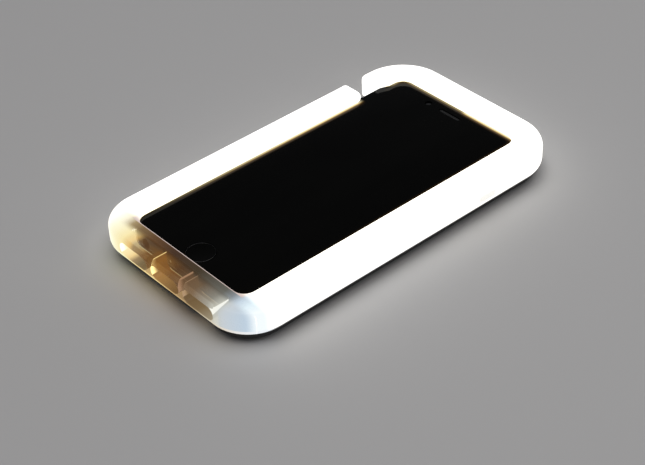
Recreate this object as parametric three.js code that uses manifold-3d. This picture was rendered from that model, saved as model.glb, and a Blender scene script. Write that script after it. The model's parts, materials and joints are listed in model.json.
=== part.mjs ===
// A smartphone in a light-up case, lying on its back: a translucent lit frame and a black back cover,
// with the case's own battery, control board and LED strips, round a phone with a home button.
//
// Millimetres, +Z up. The origin is on the surface that the case lies on, under the phone's centre. +Y
// runs along the length towards the phone's top end, and +X is to the right of a person facing the screen.

import * as THREE from "three";
import { mergeVertices } from "three/addons/utils/BufferGeometryUtils.js";
import Module from "manifold-3d";

const wasm = await Module();
wasm.setup();

// ---------------------------------------------------------------- driving dimensions

// The case's outline: its two ends along Y, and the corner radius at each.
const CASE = { width: 86.8, top: 78.7, bottom: -77.1, height: 13.8, topRadius: 19, bottomRadius: 16.5 };
const SEAM = { low: 4.0, high: 4.3 }; // the back cover's rim, and the lit frame's underside above it
const EDGE = { inset: 2.0, height: 2.6, steps: 3 }; // rounding of the lit frame's outer edges, top and bottom
const WINDOW = { width: 61.8, length: 133, radius: 5 }; // the front opening, inside the lip
const LIP = 1.4; // thickness of the lip over the phone's border
const PHONE = { width: 67, length: 138.1, height: 7, radius: 9.6 };
const PLAY = 0.3; // free space round the phone, and between the pieces that meet

const PHONE_Z = CASE.height - LIP - PLAY - PHONE.height; // the underside of the phone's back
const PORT_Z = PHONE_Z + PHONE.height / 2; // sockets and side keys are at the phone's mid height
const POCKET = {
  width: PHONE.width + 2 * PLAY,
  length: PHONE.length + 2 * PLAY,
  radius: PHONE.radius + PLAY,
};

const FLOOR = 1.0; // thickness of the back cover's floor
const COVER = { inset: EDGE.inset + 0.1, bevel: 3.4 };
const BAY = { width: 75, length: 144, radius: 13 }; // the hollow under the tray
const TRAY = { low: 3.5, high: SEAM.low };
const BOARD = { low: 1.9, high: 2.5 }; // the control board

// The gap in the left wall over the phone's ring switch, between two stations along Y, with the outer
// and inner rounding of the long bar's end below it and of the corner piece's end above it. The corner
// piece's lip has its full width from lipEnd on.
const SWITCH_GAP = {
  low: 46.2,
  high: 53.6,
  bar: { outer: 2, inner: 5 },
  corner: { outer: 3.6, inner: 1.2 },
  lipEnd: 59,
};
const KEYS = {
  volume_up: { side: -1, y: 37.6 },
  volume_down: { side: -1, y: 26.6 },
  power: { side: 1, y: 37.6 },
};
const RING_SWITCH_Y = 49.9;
const HOME = { y: -60.5, radius: 5.1 };
const CAMERA = { x: 24, y: 60.5 };
const FLASH_X = 13.5;
const JACK_X = -21;
const SPEAKER_X = 18.5;
const USB_X = 18;
const BUTTON = { x: -16, y: -55, radius: 4.3 };
const LIGHT_PIPE = { x: 16, y: -50, radius: 1.0 };
const TRAY_SCREWS = [
  [-34, -56],
  [34, -56],
  [-34, 58],
  [34, 46],
];

const BOARD_POSTS = [
  [-27, -65],
  [8, -65],
  [-27, -47],
  [28, -47],
];

const ROUND = 20; // sides of a small round piece
const PLAN_STEPS = 4; // fineness of the large outlines' corners, and of the small ones
const SMALL_STEPS = 2;

// ---------------------------------------------------------------- materials

const finish = (color, roughness, metalness = 0) =>
  new THREE.MeshStandardMaterial({ color, roughness, metalness });

const MATERIAL = {
  diffuser: finish(0xfbfbf4, 0.35),
  cover: finish(0x17181a, 0.45),
  felt: finish(0x2b2c2f, 0.95),
  steel: finish(0xb9bcc0, 0.3, 1),
  tray: finish(0x8e9296, 0.45, 1),
  board: finish(0x1d5a3a, 0.5),
  flex: finish(0xc98a35, 0.5),
  pouch: finish(0xaeb2b6, 0.4, 0.6),
  chip: finish(0x131416, 0.5),
  led: finish(0xfff3cf, 0.3),
  housing: finish(0x3d3f44, 0.38, 0.9),
  glass: finish(0x050506, 0.05),
  display: finish(0x0a0b0c, 0.2),
  lens: finish(0x101622, 0.03),
};

// ---------------------------------------------------------------- shapes and solids

function roundedRectangle(width, length, radius, x = 0, y = 0) {
  const [w, l] = [width / 2 - radius, length / 2 - radius];
  const turn = Math.PI / 2;
  return new THREE.Shape()
    .absarc(x + w, y + l, radius, 0, turn)
    .absarc(x - w, y + l, radius, turn, 2 * turn)
    .absarc(x - w, y - l, radius, 2 * turn, 3 * turn)
    .absarc(x + w, y - l, radius, 3 * turn, 4 * turn);
}

const inset = (size, by) =>
  roundedRectangle(size.width - 2 * by, size.length - 2 * by, size.radius - by);

// The case's outline, or one inset from it.
function caseOutline(by) {
  const { width, top, bottom, topRadius, bottomRadius } = CASE;
  const far = width / 2;
  const turn = Math.PI / 2;
  return new THREE.Shape()
    .absarc(far - topRadius, top - topRadius, topRadius - by, 0, turn)
    .absarc(topRadius - far, top - topRadius, topRadius - by, turn, 2 * turn)
    .absarc(bottomRadius - far, bottom + bottomRadius, bottomRadius - by, 2 * turn, 3 * turn)
    .absarc(far - bottomRadius, bottom + bottomRadius, bottomRadius - by, 3 * turn, 4 * turn);
}

// A plan shape between two heights, with both edges rounded when round is given.
function slab(shape, low, high, round, steps = SMALL_STEPS) {
  const bevel = round ?? { height: 0, inset: 0 };
  return new THREE.ExtrudeGeometry(shape, {
    depth: high - low - 2 * bevel.height,
    curveSegments: steps,
    bevelEnabled: Boolean(round),
    bevelThickness: bevel.height,
    bevelSize: bevel.inset,
    bevelOffset: -bevel.inset,
    bevelSegments: bevel.steps ?? 1,
  }).translate(0, 0, low + bevel.height);
}

// The same for a large outline, given by its size and how far inside it the edge is.
const plate = (size, by, low, high, round) =>
  slab(inset(size, by), low, high, round, PLAN_STEPS);

// The same for the case's outline.
const casePlate = (by, low, high, round) => slab(caseOutline(by), low, high, round, PLAN_STEPS);

// A box with its centre at x, y, between two heights.
const block = (width, length, x, y, low, high) =>
  new THREE.BoxGeometry(width, length, high - low).translate(
    x,
    y,
    (low + high) / 2,
  );

// An upright cylinder between two heights.
const post = (radius, x, y, low, high, sides = ROUND) =>
  new THREE.CylinderGeometry(radius, radius, high - low, sides)
    .rotateX(Math.PI / 2)
    .translate(x, y, (low + high) / 2);

// A slot with round ends, width along X and height along Z, running along Y between two stations.
function slotAlongY(width, height, x, z, from, to) {
  const ends = roundedRectangle(width, height, height / 2 - 0.01);
  return new THREE.ExtrudeGeometry(ends, {
    depth: to - from,
    curveSegments: SMALL_STEPS,
    bevelEnabled: false,
  })
    .rotateX(Math.PI / 2)
    .translate(x, to, z);
}

// The same along X: length along Y and height along Z, on the side that sign gives.
function slotAlongX(length, height, y, z, near, far, sign) {
  const slot = slotAlongY(length, height, 0, z, near, far);
  return slot.rotateZ((-sign * Math.PI) / 2).translate(0, y, 0);
}

function solid(geometry) {
  const bare = geometry.clone();
  bare.deleteAttribute("normal");
  bare.deleteAttribute("uv");
  const merged = mergeVertices(bare, 1e-4);
  return new wasm.Manifold(
    new wasm.Mesh({
      numProp: 3,
      vertProperties: merged.attributes.position.array,
      triVerts: new Uint32Array(merged.index.array),
    }),
  );
}

function geometryOf(made) {
  const mesh = made.getMesh();
  const geometry = new THREE.BufferGeometry();
  geometry.setAttribute(
    "position",
    new THREE.BufferAttribute(mesh.vertProperties, 3),
  );
  geometry.setIndex(new THREE.BufferAttribute(mesh.triVerts, 1));
  geometry.computeVertexNormals();
  return geometry;
}

// The first geometry, joined with the added ones and then cut by the others.
function carve(base, { add = [], cut = [] }) {
  let made = solid(base);
  for (const piece of add) made = made.add(solid(piece));
  for (const piece of cut) made = made.subtract(solid(piece));
  return geometryOf(made);
}

function piece(name, geometry, material, x = 0, y = 0, z = 0) {
  const mesh = new THREE.Mesh(geometry, material);
  mesh.name = name;
  mesh.position.set(x, y, z);
  return mesh;
}

// ---------------------------------------------------------------- the lit frame

// Half way between the phone's side and the window's edge.
const LIP_MIDDLE = -(POCKET.width + WINDOW.width) / 4;

// Plan of the gap in the left wall, flared so that the frame's two ends come out rounded.
function switchGapPlan() {
  const { low, high, bar, corner } = SWITCH_GAP;
  const outer = -CASE.width / 2;
  const inner = -WINDOW.width / 2;
  const beyond = 6;
  const turn = Math.PI / 2;
  return new THREE.Shape()
    .moveTo(outer - beyond, low - bar.outer)
    .absarc(outer + bar.outer, low - bar.outer, bar.outer, 2 * turn, turn, true)
    .absarc(inner - bar.inner, low - bar.inner, bar.inner, turn, 0, true)
    .lineTo(inner + beyond, low - bar.inner)
    .lineTo(inner + beyond, high + corner.inner)
    .absarc(LIP_MIDDLE - corner.inner, high + corner.inner, corner.inner, 0, -turn, true)
    .absarc(outer + corner.outer, high + corner.outer, corner.outer, -turn, -2 * turn, true)
    .lineTo(outer - beyond, high + corner.outer);
}

// What the left lip lacks beyond the gap, where it widens to the window's edge.
function lipTaperPlan() {
  const { high, corner, lipEnd } = SWITCH_GAP;
  const start = high + corner.inner;
  const inner = -WINDOW.width / 2;
  return new THREE.Shape()
    .moveTo(LIP_MIDDLE, start - 0.5)
    .lineTo(LIP_MIDDLE, start)
    .lineTo(inner, lipEnd)
    .lineTo(inner + 1, lipEnd)
    .lineTo(inner + 1, start - 0.5);
}

const PLUNGER = {
  cap: { length: 9.2, height: 3.4 },
  stem: { length: 5, height: 2.2 },
  proud: 0.5,
  capDepth: 2.1,
  tip: PHONE.width / 2 + 0.8,
};
const KEY = { length: 10, height: 2, proud: 0.5, depth: 1.9 };

// What a side key needs in the frame: a recess for the cap, a slot for the stem, and room for the
// phone's own key.
function keyCuts({ side, y }) {
  const wall = CASE.width / 2;
  const phoneSide = PHONE.width / 2;
  const room = 2 * PLAY;
  const { cap, stem, proud, capDepth, tip } = PLUNGER;
  const recess = wall + proud - capDepth - 0.8;
  return [
    slotAlongX(cap.length + room, cap.height + room, y, PORT_Z, recess, wall + 2, side),
    slotAlongX(stem.length + room, stem.height + room, y, PORT_Z, phoneSide, wall, side),
    slotAlongX(KEY.length + 2, KEY.height + 2, y, PORT_Z, phoneSide - 1, tip + 0.2, side),
  ];
}

// The openings in the bottom end: headphone socket with microphone, charging connector, loudspeaker.
const PORT = { height: 5.4, middle: PORT_Z + 0.3 };
const PORTS = [
  { x: -18, width: 15.6 },
  { x: 0, width: 15.6 },
  { x: SPEAKER_X, width: 16.6 },
];

// The channels over the LED strips, open below: centre, width and length in plan.
const CHANNEL_TOP = 9.2;
const CHANNEL_X = 38.6;
const CHANNEL_Y = 73.9;
const STRIPS = {
  left: { x: -CHANNEL_X, y: -9, width: 4.2, length: 102 },
  right: { x: CHANNEL_X, y: 0, width: 4.2, length: 120 },
  top: { x: 0, y: CHANNEL_Y, width: 56, length: 4.2 },
};

function diffuserFrame() {
  const { height } = CASE;
  const end = CASE.bottom;
  return carve(casePlate(0, SEAM.high, height, EDGE), {
    cut: [
      plate(POCKET, 0, 0, height - LIP),
      plate(WINDOW, 0, 0, height + 2),
      slab(switchGapPlan(), 0, height + 2),
      slab(lipTaperPlan(), 0, height + 2),
      ...PORTS.map((p) => slotAlongY(p.width, PORT.height, p.x, PORT.middle, end - 2, end + 12)),
      ...Object.values(STRIPS).map((s) => block(s.width, s.length, s.x, s.y, 0, CHANNEL_TOP)),
      ...Object.values(KEYS).flatMap(keyCuts),
    ],
  });
}

// ---------------------------------------------------------------- the back of the case

const CAMERA_HOLE = { x: 19, y: 60.5, width: 24, length: 13 };
const BEZEL_WALL = 1.2;

function cameraHole(grow, low, high) {
  const { x, y, width, length } = CAMERA_HOLE;
  const radius = length / 2 + grow - 0.01;
  return slab(roundedRectangle(width + 2 * grow, length + 2 * grow, radius, x, y), low, high);
}

const MICRO_USB = { width: 7.5, low: 1.1, high: 3.4, length: 5.2 };

function backCover() {
  const end = CASE.bottom + COVER.inset;
  const above = 8;
  const bevel = { inset: COVER.bevel, height: COVER.bevel, steps: 3 };
  const bosses = TRAY_SCREWS.map(([x, y]) => post(2.4, x, y, 0.5, TRAY.low - PLAY));
  const ribs = [-1, 1].map((side) => block(1, 70, side * 28.6, 2, 0.5, 2.6));
  const boardPosts = BOARD_POSTS.map(([x, y]) => post(1.3, x, y, 0.5, BOARD.low - 0.1, 12));
  const usb = MICRO_USB;
  const shell = carve(casePlate(COVER.inset, 0, above + SEAM.low, bevel), {
    cut: [
      block(200, 200, 0, 0, SEAM.low, above + 20),
      plate(BAY, 0, FLOOR, above),
    ],
  });
  return carve(shell, {
    add: [...bosses, ...ribs, ...boardPosts],
    cut: [
      ...TRAY_SCREWS.map(([x, y]) => post(0.9, x, y, FLOOR, 5, 12)),
      cameraHole(PLAY + BEZEL_WALL, -1, 6),
      post(BUTTON.radius + PLAY, BUTTON.x, BUTTON.y, -1, 2),
      post(LIGHT_PIPE.radius + 0.2, LIGHT_PIPE.x, LIGHT_PIPE.y, -1, 2, 16),
      block(usb.width + 0.8, 14, USB_X, end, usb.low - 0.1, usb.high + 0.2),
    ],
  });
}

// A tube through the cover's floor and the tray, with a flange on the tray's underside.
function cameraBezel() {
  return carve(cameraHole(BEZEL_WALL, 0.2, TRAY.high + 0.5), {
    add: [cameraHole(BEZEL_WALL + 1.2, FLOOR + 0.1, FLOOR + 0.7)],
    cut: [cameraHole(0, -1, 6)],
  });
}

function phoneTray() {
  const relief = plate(BAY, 0.4, TRAY.low, TRAY.high);
  return carve(relief, {
    cut: [
      cameraHole(PLAY + BEZEL_WALL, 0, 6),
      ...TRAY_SCREWS.map(([x, y]) => post(SCREW.shaft + 0.15, x, y, 0, 6, 12)),
      ...TRAY_SCREWS.map(([x, y]) => post(SCREW.head + PLAY, x, y, TRAY.high - 0.28, 6, 16)),
      // notches where the strips' leads come up
      block(14, 8, -BAY.width / 2, 0, 0, 6),
      block(14, 8, BAY.width / 2, 0, 0, 6),
      block(8, 14, 0, BAY.length / 2, 0, 6),
    ],
  });
}

function cushionPad() {
  const pad = { width: 65.4, length: 136.4, radius: 9 };
  return carve(plate(pad, 0, TRAY.high + 0.1, PHONE_Z - 0.15), {
    cut: [cameraHole(PLAY + BEZEL_WALL, 0, 8)],
  });
}

// A cap in the floor's hole with a flange inside that keeps it there.
function lightButton() {
  const { radius } = BUTTON;
  const profile = [
    [0, 0.45],
    [radius - 1.2, 0.3],
    [radius - 0.2, 0.3],
    [radius, 0.5],
    [radius, 1.05],
    [radius + 0.8, 1.05],
    [radius + 0.8, 1.25],
    [0, 1.25],
  ].map(([r, z]) => new THREE.Vector2(r, z));
  return new THREE.LatheGeometry(profile, ROUND).rotateX(Math.PI / 2);
}

// The board, with a notch for the micro USB socket and two for the screw bosses.
function controlBoard() {
  const [x, y] = TRAY_SCREWS[1];
  return carve(block(64, 24, 0, -56, BOARD.low, BOARD.high), {
    cut: [
      block(MICRO_USB.width + 0.6, 5, USB_X, -68, 0, 6),
      ...[-x, x].map((sx) => post(2.8, sx, y, 0, 6)),
    ],
  });
}

function microUsbSocket() {
  const { width, low, high, length } = MICRO_USB;
  const wall = 0.35;
  const mouth = CASE.bottom + COVER.inset + 1.6;
  const middle = mouth + length / 2;
  const height = (high - low) / 2;
  return carve(block(width, length, USB_X, middle, low, high), {
    cut: [block(width - 2 * wall, length, USB_X, middle - 1, low + wall, high - wall)],
    add: [block(4, length - 1, USB_X, middle + 0.5, low + height - 0.1, low + height + 0.25)],
  });
}

// A flexible strip with LED packages along it, one piece as soldered.
const LED = { length: 3, width: 1.5, height: 0.8, pitch: 8.5 };
const STRIP = { low: SEAM.high + 0.15, thick: 0.35, width: 3.2 };

function ledStrip({ width, length }) {
  const alongX = width > length;
  const run = Math.max(width, length) - 2;
  const count = Math.floor((run - LED.length) / LED.pitch) + 1;
  const start = (-(count - 1) * LED.pitch) / 2;
  const top = STRIP.thick + LED.height;
  const leds = Array.from({ length: count }, (_, i) =>
    block(LED.width, LED.length, 0, start + i * LED.pitch, 0.1, top),
  );
  const strip = carve(block(STRIP.width, run, 0, 0, 0, STRIP.thick), { add: leds });
  return alongX ? strip.rotateZ(Math.PI / 2) : strip;
}

// A flat lead that lies on the bay's floor, climbs the bay's side and ends under a strip.
const LEAD = { clear: 0.15, low: FLOOR + 0.15, width: 5, thick: 0.25 };

function stripLead(reach) {
  const { low, width, thick } = LEAD;
  const rise = SEAM.low + thick - low;
  const profile = new THREE.Shape([
    new THREE.Vector2(0, 0),
    new THREE.Vector2(reach, 0),
    new THREE.Vector2(reach, rise - thick),
    new THREE.Vector2(reach + 0.6, rise - thick),
    new THREE.Vector2(reach + 0.6, rise),
    new THREE.Vector2(reach - thick, rise),
    new THREE.Vector2(reach - thick, thick),
    new THREE.Vector2(0, thick),
  ]);
  return new THREE.ExtrudeGeometry(profile, { depth: width, bevelEnabled: false })
    .rotateX(Math.PI / 2)
    .translate(0, width / 2, 0);
}

// A screw with a flat head and a driver slot.
const SCREW = { shaft: 0.6, head: 1.1, low: 1.3, under: TRAY.high - 0.25, top: TRAY.high + 0.2 };

function trayScrew() {
  const { shaft, head, low, under, top } = SCREW;
  const profile = [
    [0, low],
    [shaft, low],
    [shaft, under],
    [head, under],
    [head, top],
    [0, top],
  ].map(([r, z]) => new THREE.Vector2(r, z));
  const body = new THREE.LatheGeometry(profile, 16).rotateX(Math.PI / 2);
  return carve(body, { cut: [block(1.4, 0.35, 0, 0, top - 0.25, top + 1)] });
}

// A cap outside the wall with a stem that reaches the phone's own key, drawn for the right side.
function sidePlunger() {
  const { cap, stem, proud, capDepth, tip } = PLUNGER;
  const face = CASE.width / 2 + proud;
  return carve(slotAlongX(cap.length, cap.height, 0, 0, face - capDepth, face, 1), {
    add: [slotAlongX(stem.length, stem.height, 0, 0, tip, face - capDepth + 0.2, 1)],
  });
}

function caseBattery() {
  return slab(roundedRectangle(54, 82, 2), 0, 2.2, { height: 0.5, inset: 0.5 });
}

function caseGroup() {
  const group = new THREE.Group();
  const m = MATERIAL;
  const onBoard = BOARD.high + 0.05;
  const inductor = roundedRectangle(4, 4, 0.8);
  const domeSwitch = roundedRectangle(4.4, 4.4, 0.6);
  const lightPipe = post(LIGHT_PIPE.radius, 0, 0, 0.1, 1.7, 16);
  group.add(
    piece("diffuser_frame", diffuserFrame(), m.diffuser),
    piece("back_cover", backCover(), m.cover),
    piece("camera_bezel", cameraBezel(), m.cover),
    piece("phone_tray", phoneTray(), m.tray),
    piece("cushion_pad", cushionPad(), m.felt),
    piece("case_battery", caseBattery(), m.pouch, 0, 2, FLOOR + 0.1),
    piece("control_board", controlBoard(), m.board),
    piece("micro_usb_socket", microUsbSocket(), m.steel),
    piece("charger_chip", block(5, 5, 0, 0, 0, 0.8), m.chip, 4, -58, onBoard),
    piece("boost_inductor", slab(inductor, 0, 0.85), m.chip, -6, -58, onBoard),
    piece("light_switch", slab(domeSwitch, 0, 0.3), m.steel, BUTTON.x, BUTTON.y, BOARD.low - 0.35),
    piece("light_button", lightButton(), m.cover, BUTTON.x, BUTTON.y, 0),
    piece("charge_light_pipe", lightPipe, m.led, LIGHT_PIPE.x, LIGHT_PIPE.y, 0),
  );
  for (const [where, s] of Object.entries(STRIPS))
    group.add(piece(`led_strip_${where}`, ledStrip(s), m.flex, s.x, s.y, STRIP.low));
  const reach = 6;
  const side = BAY.width / 2 - LEAD.clear - reach;
  const end = BAY.length / 2 - LEAD.clear - reach;
  const leads = {
    left: { x: -side, y: 0, turn: Math.PI },
    right: { x: side, y: 0, turn: 0 },
    top: { x: 0, y: end, turn: Math.PI / 2 },
  };
  for (const [where, { x, y, turn }] of Object.entries(leads)) {
    const lead = piece(`strip_lead_${where}`, stripLead(reach), m.flex, x, y, LEAD.low);
    lead.rotation.z = turn;
    group.add(lead);
  }
  TRAY_SCREWS.forEach(([x, y], i) =>
    group.add(piece(`tray_screw_${i + 1}`, trayScrew(), m.steel, x, y, 0)),
  );
  for (const [name, { side: sign, y }] of Object.entries(KEYS)) {
    const plunger = piece(`${name}_plunger`, sidePlunger(), m.diffuser, 0, y, PORT_Z);
    plunger.rotation.z = sign > 0 ? 0 : Math.PI;
    group.add(plunger);
  }
  return group;
}

// ---------------------------------------------------------------- the phone, from its own back up

const SHELL = 1.0; // thickness of the housing's back
const RIM = 2.2; // and of its sides
const GLASS = { low: 6.05, high: PHONE.height, inset: 0.3 };
const MID = PHONE.height / 2;
const TOP_ROW = 61.6; // Y of the earpiece and front camera
const FRONT_CAMERA_X = -11.5;
const END_SCREW_X = 7;
const END = -PHONE.length / 2;
const SIM = { y: 5, z: 2.95 };
const SPEAKER_HOLES = { count: 6, pitch: 2.4, radius: 0.75 };

function alongY(radius, x, z, from, to, sides = 16) {
  return new THREE.CylinderGeometry(radius, radius, to - from, sides).translate(x, (from + to) / 2, z);
}

function speakerHoles() {
  const { count, pitch, radius } = SPEAKER_HOLES;
  const first = SPEAKER_X - ((count - 1) * pitch) / 2;
  return Array.from({ length: count }, (_, i) =>
    alongY(radius, first + i * pitch, MID, END - 1, END + 5, 12),
  );
}

function phoneHousing() {
  const side = PHONE.width / 2;
  const round = { height: 2.6, inset: 2.2, steps: 3 };
  const cavity = { width: PHONE.width - 2 * RIM, length: PHONE.length - 2 * RIM, radius: 7.4 };
  const keySlots = Object.values(KEYS).map(({ side: sign, y }) =>
    slotAlongX(KEY.length + 0.4, KEY.height + 0.4, y, MID, side - 4, side + 1, sign),
  );
  return carve(plate(PHONE, 0, 0, GLASS.low - 0.05 + 2 * round.height, round), {
    cut: [
      block(90, 160, 0, 0, GLASS.low - 0.05, 20),
      plate(cavity, 0, SHELL, 20),
      ...keySlots,
      slotAlongX(5.4, 3.4, RING_SWITCH_Y, MID, side - 4, side + 1, -1),
      slotAlongX(14.6, 1.9, SIM.y, SIM.z, side - 4, side + 1, 1),
      slotAlongY(9, 3, 0, MID, END - 1, END + 5),
      alongY(1.9, JACK_X, MID, END - 1, END + 5),
      alongY(0.5, -13, MID, END - 1, END + 5, 10),
      ...[-END_SCREW_X, END_SCREW_X].map((x) => alongY(0.95, x, MID, END - 1, END + 5, 12)),
      ...speakerHoles(),
      post(3.95, CAMERA.x, CAMERA.y, -1, 2),
      post(1.8, FLASH_X, CAMERA.y, -1, 2),
      post(0.45, (CAMERA.x + FLASH_X) / 2 - 0.7, CAMERA.y, -1, 2, 10),
    ],
  });
}

function frontGlass() {
  return carve(plate(PHONE, GLASS.inset, GLASS.low, GLASS.high, { height: 0.3, inset: 0.3 }), {
    cut: [
      post(HOME.radius + 0.55, 0, HOME.y, 0, 10, 40),
      slab(roundedRectangle(10.6, 1.7, 0.84, 0, TOP_ROW), 0, 10),
      post(1.4, FRONT_CAMERA_X, TOP_ROW, 0, 10, 16),
    ],
  });
}

function homeRing() {
  const { radius } = HOME;
  const profile = [
    [radius + 0.06, -1.1],
    [radius + 0.35, -1.1],
    [radius + 0.35, -0.1],
    [radius + 0.25, 0],
    [radius + 0.06, -0.08],
    [radius + 0.06, -1.1],
  ].map(([r, z]) => new THREE.Vector2(r, z));
  return new THREE.LatheGeometry(profile, 32).rotateX(Math.PI / 2);
}

// A shallow dish, so that a thumb finds it.
function homeCap() {
  const { radius } = HOME;
  const profile = [
    [0, -1.1],
    [radius, -1.1],
    [radius, -0.1],
    [radius * 0.75, -0.22],
    [radius * 0.4, -0.32],
    [0, -0.35],
  ].map(([r, z]) => new THREE.Vector2(r, z));
  return new THREE.LatheGeometry(profile, 32).rotateX(Math.PI / 2);
}

function sideKey() {
  const face = PHONE.width / 2 + KEY.proud;
  return slotAlongX(KEY.length, KEY.height, 0, 0, face - KEY.depth, face, 1);
}

function logicBoard() {
  const plan = new THREE.Shape([
    new THREE.Vector2(11.5, -46),
    new THREE.Vector2(30, -46),
    new THREE.Vector2(30, 54),
    new THREE.Vector2(-6, 54),
    new THREE.Vector2(-6, 47),
    new THREE.Vector2(11.5, 47),
  ]);
  return slab(plan, 0, 0.8);
}

function cameraRing() {
  const profile = [
    [3.4, 0.6],
    [3.4, -0.6],
    [4.1, -0.6],
    [4.4, -0.35],
    [4.4, -0.05],
    [3.8, -0.05],
    [3.8, 0.6],
    [3.4, 0.6],
  ].map(([r, z]) => new THREE.Vector2(r, z));
  return new THREE.LatheGeometry(profile, 32).rotateX(Math.PI / 2);
}

function rearCamera() {
  return carve(block(8.6, 8.6, 0, 0, SHELL + 0.1, 4.8), { add: [post(3.1, 0, 0, 0.1, 2)] });
}

function chargingConnector() {
  const depth = 8;
  const outer = slotAlongY(8.4, 2.5, 0, 0, 0, depth);
  return carve(outer, { cut: [slotAlongY(7, 1.7, 0, 0, -1, depth - 1.5)] });
}

function headphoneJack() {
  const length = 12;
  return carve(alongY(2.4, 0, 0, 0, length), {
    cut: [alongY(1.75, 0, 0, -1, length - 1.5)],
    add: [block(2.4, length - 3, 0, length / 2 + 1, -2.5, -2.1)],
  });
}

function simTray() {
  const face = PHONE.width / 2 - 0.05;
  return carve(slotAlongX(14.2, 1.5, 0, 0, face - 1.6, face, 1), {
    add: [block(15, 12.6, face - 8.6, 0, -0.7, 0.5)],
    cut: [block(12, 9, face - 9, 0, 0, 2), pinHole(face)],
  });
}

// The pin hole in the SIM tray's face.
const pinHole = (face) =>
  new THREE.CylinderGeometry(0.4, 0.4, 1.4, 10).rotateZ(Math.PI / 2).translate(face, -5.2, 0);

function ringSwitch() {
  const side = PHONE.width / 2;
  return slotAlongX(4.4, 1.8, 0, 0, side - 1.3, side + 0.6, -1);
}

function phoneBattery() {
  return slab(roundedRectangle(39, 88, 1.5), 0, 2.9, { height: 0.4, inset: 0.4 });
}

function frontCamera() {
  return carve(block(5, 5, 0, 0, 0, 2.6), { add: [post(1.2, 0, 0, 2, 4.2, 16)] });
}

const endScrew = () => alongY(0.75, 0, 0, 0, 3.4, 12);

function phoneGroup() {
  const group = new THREE.Group();
  group.position.z = PHONE_Z;
  const m = MATERIAL;
  const inside = SHELL + 0.15;
  const wall = END + RIM + 0.15;
  const display = roundedRectangle(60, 106, 1);
  const earpiece = roundedRectangle(10.2, 1.3, 0.64);
  const speakerBox = roundedRectangle(17, 9, 2);
  const homeFlex = roundedRectangle(11, 9, 1);
  group.add(
    piece("phone_housing", phoneHousing(), m.housing),
    piece("front_glass", frontGlass(), m.glass),
    piece("display_panel", slab(display, 0, 1.5), m.display, 0, 1.5, 4.45),
    piece("home_button_cap", homeCap(), m.glass, 0, HOME.y, PHONE.height),
    piece("home_button_ring", homeRing(), m.steel, 0, HOME.y, PHONE.height),
    piece("home_switch", slab(homeFlex, 0, 0.5), m.flex, 0, HOME.y, 5),
    piece("ring_switch", ringSwitch(), m.steel, 0, RING_SWITCH_Y, MID + 0.6),
    piece("sim_tray", simTray(), m.housing, 0, SIM.y, SIM.z),
    piece("phone_battery", phoneBattery(), m.pouch, -9.6, -1, inside),
    piece("logic_board", logicBoard(), m.board, 0, 0, inside),
    piece("shield_can_lower", block(15, 34, 0, 0, 0, 1.2), m.steel, 20.6, -26, inside + 0.9),
    piece("shield_can_upper", block(15, 26, 0, 0, 0, 1.2), m.steel, 20.6, 34, inside + 0.9),
    piece("rear_camera", rearCamera(), m.chip, CAMERA.x, CAMERA.y, 0),
    piece("camera_ring", cameraRing(), m.steel, CAMERA.x, CAMERA.y, 0),
    piece("camera_glass", post(3.3, 0, 0, -0.5, -0.1), m.lens, CAMERA.x, CAMERA.y, 0),
    piece("flash_lens", post(1.6, 0, 0, 0.05, SHELL + 0.4, 16), m.led, FLASH_X, CAMERA.y, 0),
    piece("front_camera", frontCamera(), m.chip, FRONT_CAMERA_X, TOP_ROW, 2),
    piece("earpiece_speaker", block(12, 4, 0, 0, 0, 2.2), m.chip, 0, TOP_ROW, 3.4),
    piece("earpiece_mesh", slab(earpiece, 0, 0.4), m.steel, 0, TOP_ROW, 6.25),
    piece("loudspeaker", slab(speakerBox, 0, 3.4), m.chip, SPEAKER_X - 1.2, wall + 4.8, inside),
    piece("vibration_motor", block(6, 9, 0, 0, 0, 2.8), m.steel, -11, wall + 5.5, inside),
    piece("charging_connector", chargingConnector(), m.steel, 0, END + 0.9, MID),
    piece("headphone_jack", headphoneJack(), m.chip, JACK_X, wall, MID),
    piece("bottom_screw_left", endScrew(), m.steel, -END_SCREW_X, END + 0.3, MID),
    piece("bottom_screw_right", endScrew(), m.steel, END_SCREW_X, END + 0.3, MID),
  );
  for (const [name, { side: sign, y }] of Object.entries(KEYS)) {
    const key = piece(`${name}_key`, sideKey(), m.housing, 0, y, MID);
    key.rotation.z = sign > 0 ? 0 : Math.PI;
    group.add(key);
  }
  return group;
}

const lightUpPhone = new THREE.Group();
lightUpPhone.add(caseGroup(), phoneGroup());

export default lightUpPhone;
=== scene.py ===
"""A smartphone in a light-up case, screen up, on a pale floor.

The frame and the camera are in metres, +Z up. The origin is on the floor under the phone's centre, +Y runs
to the phone's top end and +X is to the right of a person facing the screen. Shapes are drawn in
millimetres and scaled when they become pieces.
"""

import json
import math

import bmesh
import bpy
from mathutils import Matrix, Vector

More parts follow.
